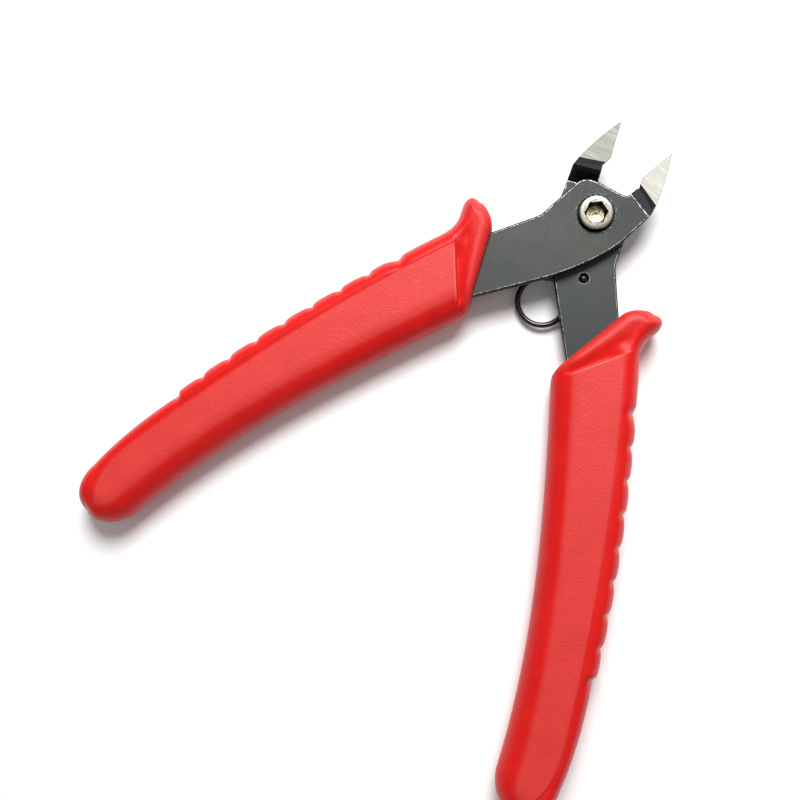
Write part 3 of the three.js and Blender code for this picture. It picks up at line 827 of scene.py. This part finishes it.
def sleeve_heights(plan):
    """Half heights of the plan points, how much each is panel, which also sets the painted sheen of
    the panel's colour, and how much painted highlight each has.
    """
    flat = plan.reshape(-1, 2)
    end = tail_arc(60)
    inner_end = end * [-1, 1] + [2 * end[-1, 0], 0]
    edge = np.concatenate([nose, guard_back, swell, scalloped_line(), plain_back, end])
    crests = np.concatenate([nose, guard_back, swell, scalloped_line(filled=True), plain_back, end])
    to_inner = np.abs(nearest(np.concatenate([inner_side, inner_end]), flat))
    to_edge = np.abs(nearest(edge, flat))
    to_crests = np.maximum(nearest(crests, flat), 0)
    to_front = np.abs(nearest(front_edge, flat))
    ahead = signed_side(flat, PANEL_FRONT)
    inside = nearest(crease_line, flat)
    body = rounded_sides(flat, to_inner, to_edge, to_crests)

    behind_line = smoothstep(-0.22, 0.22, -ahead)
    off_roll = smoothstep(1.6, 3.6, to_inner)
    in_panel = smoothstep(-0.12, 0.12, inside)
    tone = smoothstep(-0.5, 0.7, inside) * smoothstep(-0.3, 0.2, -ahead)
    panel = tone * smoothstep(3.1, 4.3, to_inner)

    # the lip behind the front edge, and the hollow between it and the panel
    gap = np.maximum(ahead, 0)
    t = np.clip(to_front / np.maximum(to_front + gap, 1e-6), 0, 1)
    crest = LIP_FRONT + (1 - LIP_FRONT) * quarter(to_front, LIP_CREST)
    hollow = HOLLOW_DEPTH * smoothstep(0.12, 0.95, t) * off_roll * smoothstep(1.5, 4.5, to_crests)
    hollow *= 0.3 + 0.7 * smoothstep(0, 3.0, np.abs(inside))
    share = crest * (1 - hollow * (1 - behind_line))

    # the lip takes part of the panel's paler coral, which is partly painted sheen
    lip = (1 - smoothstep(0.25, 0.6, t)) * (1 - behind_line) * smoothstep(0.6, 2.0, to_inner)
    panel = np.maximum(panel, LIP_TONE * lip)
    # painted highlight along the panel's front line
    highlight = np.exp(-((ahead + 0.2) / HIGHLIGHT_WIDTH) ** 2) * smoothstep(2.6, 4.2, to_inner)
    highlight *= smoothstep(0.2, 1.5, inside)

    # the band outside the crease is dished, more so towards the end
    dish = np.interp(-flat[:, 1], DISH_PLACES, DISH_DEPTHS)
    band = (1 - in_panel) * np.exp(-(inside / DISH_WIDTH) ** 2) * behind_line
    groove = np.exp(-(inside / GROOVE_WIDTH) ** 2) * behind_line
    step = (dish * band + GROOVE_DEPTH * groove) * off_roll
    height = np.clip(HALF_GRIP * share * body - step * np.clip(body * 1.5, 0, 1), 0, HALF_GRIP)
    shape = plan.shape[:2]
    return height.reshape(shape), panel.reshape(shape), highlight.reshape(shape)


SLEEVE_PLAN = sleeve_sections()
SLEEVE_HEIGHT, SLEEVE_PANEL, SLEEVE_HIGHLIGHT = sleeve_heights(SLEEVE_PLAN)


WALL_COURSES = 5


def sleeve_mesh(name, place):
    """The plan points raised to both sides, joined along the inner and outer sides
    and closed by a wall in front and a strip at the end."""
    height = SLEEVE_HEIGHT.copy()
    height[:, 0] = 0
    height[:, -1] = 0
    rows, columns = height.shape
    points, shares, painted_highlight, faces = [], [], [], []
    levels = {}
    for level in (1, -1):
        for r in range(rows):
            for c in range(columns):
                if level < 0 and c in (0, columns - 1):
                    levels[level, r, c] = levels[1, r, c]
                    continue
                levels[level, r, c] = len(points)
                x, y = SLEEVE_PLAN[r, c]
                points.append((x, y, level * height[r, c]))
                shares.append(SLEEVE_PANEL[r, c])
                painted_highlight.append(SLEEVE_HIGHLIGHT[r, c])
    for r in range(rows - 1):
        for c in range(columns - 1):
            corners = [(r, c), (r, c + 1), (r + 1, c + 1), (r + 1, c)]
            faces.append([levels[1, i, j] for i, j in corners])
            faces.append([levels[-1, i, j] for i, j in corners][::-1])
    wall = {}
    for c in range(columns):
        wall[0, c] = levels[1, 0, c]
        wall[WALL_COURSES, c] = levels[-1, 0, c]
        for k in range(1, WALL_COURSES):
            if c in (0, columns - 1):
                wall[k, c] = levels[1, 0, c]
                continue
            x, y = SLEEVE_PLAN[0, c]
            wall[k, c] = len(points)
            points.append((x, y, height[0, c] * (1 - 2 * k / WALL_COURSES)))
            shares.append(0.5)
            painted_highlight.append(0.0)
    last = rows - 1
    for c in range(columns - 1):
        for k in range(WALL_COURSES):
            faces.append([wall[k, c + 1], wall[k, c], wall[k + 1, c], wall[k + 1, c + 1]])
        faces.append([levels[1, last, c], levels[1, last, c + 1],
                      levels[-1, last, c + 1], levels[-1, last, c]])
    # at the sides some corners fall together, and what has no area is left out
    clean = []
    for face in faces:
        unique = [v for k, v in enumerate(face) if v != face[k - 1]]
        if len(unique) > 2:
            clean.append(unique)
    mesh = mesh_from(name, points, clean, place)
    for label, values in (("panel", shares), ("painted_highlight", painted_highlight)):
        layer = mesh.attributes.new(label, "FLOAT", "POINT")
        layer.data.foreach_set("value", np.array(values, np.float32))
    return mesh


for name, body, place in (("upper_grip", "upper_arm", UPPER), ("lower_grip", "lower_arm", LOWER)):
    sleeve = new_object(name + "_sleeve", sleeve_mesh(name + "_shape", place), [VINYL])
    sharpen(sleeve, 50)
    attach(sleeve, body)
    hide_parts(name)


# ---- Spring ----

WIRE_RADIUS = 0.55
WIRE_SIDES = 20
WIRE_END = 0.12  # length of the rounding at each end
LOOP_RADIUS = 4.72  # to the middle of the wire
LOOP_CENTRE = np.array([0.57, -18.4])
LOOP_PITCH = 1.25
LOOP_POINTS = 97
START_Z = -BACK_Z - WIRE_RADIUS - FACE_GAP
END_Z = START_Z - LOOP_PITCH
UPPER_BEND_Z = -1.1
UPPER_HOOK_TOP = FACE_Z + 1.2
LOWER_HOOK_TOP = -FACE_Z - FIT_GAP


def turned(point, angle):
    c, s = math.cos(angle), math.sin(angle)
    return np.array([c * point[0] - s * point[1], s * point[0] + c * point[1]])


def tangent_angle(origin, turn):
    """Where on the loop a straight leg from the origin touches it, as an angle."""
    offset = origin - LOOP_CENTRE
    spread = math.acos(LOOP_RADIUS / np.linalg.norm(offset))
    return math.atan2(offset[1], offset[0]) % (2 * math.pi) + turn * spread


POINTS_PER_SPAN = 10


def smooth_path(points):
    """A Catmull-Rom curve through the points."""
    pts = [np.array(p, float) for p in points]
    pts = [2 * pts[0] - pts[1]] + pts + [2 * pts[-1] - pts[-2]]
    path = []
    for a, b, c, d in zip(pts, pts[1:], pts[2:], pts[3:]):
        for k in range(POINTS_PER_SPAN):
            t = k / POINTS_PER_SPAN
            path.append(0.5 * (2 * b + (c - a) * t + (2 * a - 5 * b + 4 * c - d) * t * t
                               + (3 * b - a - 3 * c + d) * t ** 3))
    path.append(pts[-2])
    return np.array(path)


def wire(name, path):
    """A round wire along a path, its ends rounded off."""
    tangents = np.gradient(path, axis=0)
    tangents /= np.linalg.norm(tangents, axis=1)[:, None]
    side = np.cross(tangents[0], [0.3, 0.2, 1.0])
    rings = []

    def ring(centre, tangent, size):
        across = side / np.linalg.norm(side)
        up = np.cross(tangent, across)
        return [tuple(centre + size * (math.cos(a) * across + math.sin(a) * up))
                for a in np.linspace(0, 2 * math.pi, WIRE_SIDES, endpoint=False)]

    for index, (centre, tangent) in enumerate(zip(path, tangents)):
        side = side - tangent * side.dot(tangent)
        if index == 0:
            rings.append(ring(centre - WIRE_END * tangent, tangent, WIRE_RADIUS * 0.75))
        rings.append(ring(centre, tangent, WIRE_RADIUS))
    rings.append(ring(path[-1] + WIRE_END * tangents[-1], tangents[-1], WIRE_RADIUS * 0.75))
    points, faces = loft(rings)
    return new_object(name, mesh_from(name + "_shape", points, faces, TOOL), [WIRE])


def between(a, b, share):
    return a * (1 - share) + b * share


upper_hook = turned(UPPER_HOOK, -HALF_OPEN)
lower_hook = turned(LOWER_HOOK, HALF_OPEN)
first_angle = tangent_angle(upper_hook, -1)
last_angle = tangent_angle(lower_hook, 1) - 2 * math.pi
shares = np.linspace(0, 1, LOOP_POINTS)
angles = first_angle + (last_angle - first_angle) * shares
coil_path = np.stack([LOOP_CENTRE[0] + LOOP_RADIUS * np.cos(angles),
                      LOOP_CENTRE[1] + LOOP_RADIUS * np.sin(angles),
                      START_Z + (END_Z - START_Z) * shares], 1)
loop_start, loop_end = coil_path[0], coil_path[-1]
upper_bend = np.array([*upper_hook, UPPER_BEND_Z])
lower_bend = np.array([*lower_hook, START_Z])
upper_leg_path = smooth_path([
    (*upper_hook, UPPER_HOOK_TOP), (*upper_hook, 0.0),
    between(upper_bend, loop_start, 0.12), between(upper_bend, loop_start, 0.55),
    between(upper_bend, loop_start, 0.85), loop_start, coil_path[2]])
lower_leg_path = smooth_path([
    coil_path[-3], loop_end, between(loop_end, lower_bend, 0.3),
    between(loop_end, lower_bend, 0.6), between(loop_end, lower_bend, 0.88),
    (*lower_hook, START_Z + 1.0), (*lower_hook, LOWER_HOOK_TOP)])

coil = wire("spring_coil", coil_path)
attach(coil, "spring")
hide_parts("return_spring")


# No joint runs from the upper plate to the coil, so the upper leg's bend starts
# beyond the coil, on the lower arm, and the end at the coil is halfway.
upper_leg = wire("spring_upper_leg", upper_leg_path)
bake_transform(upper_leg)

lower_leg = wire("spring_lower_leg", lower_leg_path)
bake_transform(lower_leg)


# ---- Stage, light and camera ----

def paper(name):
    n = Nodes(name)
    tone = n.ramp(n.noise(9, 4), 0.3, 0.7)
    base = n.mix(tone, (0.93, 0.93, 0.925, 1), (0.95, 0.95, 0.945, 1))
    n.bump([(n.noise(900, 4), 1.0)], 0.02 * MM)
    return n.finish(base_color=base, roughness=0.75)


FLOOR_REACH = 1.5
FLOOR_Z = -0.03 * MM


def floor():
    """The paper, a hair below the sleeves so that they share no plane with it."""
    reach, z = FLOOR_REACH, FLOOR_Z
    mesh = bpy.data.meshes.new("floor_shape")
    mesh.from_pydata([(-reach, -reach, z), (reach, -reach, z), (reach, reach, z), (-reach, reach, z)],
                     [], [(0, 1, 2, 3)])
    return new_object("floor", mesh, [paper("paper")])


floor()


# The camera stands nearly straight above the tool, which lies turned on the paper.
CAMERA_OFFSET = Vector((0.005895, -0.044615, 0.192232))
CAMERA_TURN = [math.radians(angle) for angle in (1.603, 5.130, 33.867)]
KEY_SIZE = 0.26  # in metres
KEY_POWER = 3.5
WORLD_STRENGTH = 0.33

picture_to_tool = Matrix.Rotation(CAMERA_TURN[2], 4, "Z")


def on_paper(x, y, z):
    """A place given along the picture's own sides, round the pivot."""
    return PIVOT + picture_to_tool @ Vector((x, y, z))


def key_light(place, target):
    data = bpy.data.lights.new("key", "AREA")
    data.shape = "DISK"
    data.size = KEY_SIZE
    data.energy = KEY_POWER
    light = bpy.data.objects.new("key", data)
    light.location = place
    light.rotation_euler = (target - place).to_track_quat("-Z", "Y").to_euler()
    bpy.context.scene.collection.objects.link(light)


key_light(on_paper(0.02, 0.26, 0.38), on_paper(-0.03, -0.05, 0))

world = bpy.data.worlds.new("studio")
world.use_nodes = True
world.node_tree.nodes["Background"].inputs["Color"].default_value = (1, 1, 1, 1)
world.node_tree.nodes["Background"].inputs["Strength"].default_value = WORLD_STRENGTH
bpy.context.scene.world = world

camera_data = bpy.data.cameras.new("camera")
camera_data.sensor_width = 36
camera_data.lens = 45
camera_data.clip_start = 0.01
camera = bpy.data.objects.new("camera", camera_data)
camera.location = PIVOT + CAMERA_OFFSET
camera.rotation_euler = CAMERA_TURN
bpy.context.scene.collection.objects.link(camera)
bpy.context.scene.camera = camera
bpy.context.scene.view_settings.view_transform = "Standard"
